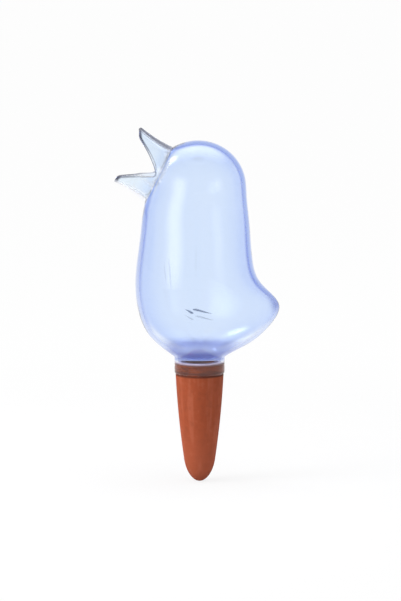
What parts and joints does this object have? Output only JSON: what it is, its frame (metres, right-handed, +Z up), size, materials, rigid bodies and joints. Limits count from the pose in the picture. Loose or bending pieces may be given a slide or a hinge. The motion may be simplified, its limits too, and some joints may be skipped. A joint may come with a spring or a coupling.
{
  "type": "watering globe",
  "caption": "Bird-shaped blown-glass plant waterer with a clear open beak for filling and a hollow clay spike that lets the water seep into the soil.",
  "frame": {"origin": "on the neck's axis at the clay shoulder, which is the soil line", "axes": "+Z up out of the soil, +X towards the tail, -X towards the beak, +Y to the bird's left side"},
  "size_m": [0.0931, 0.068, 0.2],
  "materials": {
    "blue_glass": "polished, pale blue",
    "clear_glass": "polished, clear",
    "terracotta": "matte, unglazed",
    "silicone": "satin, milky"
  },
  "bodies": {
    "spike": {"clay_cone": "terracotta"},
    "seal": {"seal_ring": "silicone"},
    "bird": {"glass_body": "blue_glass", "glass_beak": "clear_glass"}
  },
  "joints": [
    {"name": "bird_swivel", "type": "hinge", "parent": "spike", "child": "seal", "pos_m": [0, 0, 0], "axis": [0, 0, 1], "continuous": true},
    {"name": "bird_lift_off", "type": "slide", "parent": "seal", "child": "bird", "axis": [0, 0, 1], "range_m": [0, 0.01]}
  ]
}
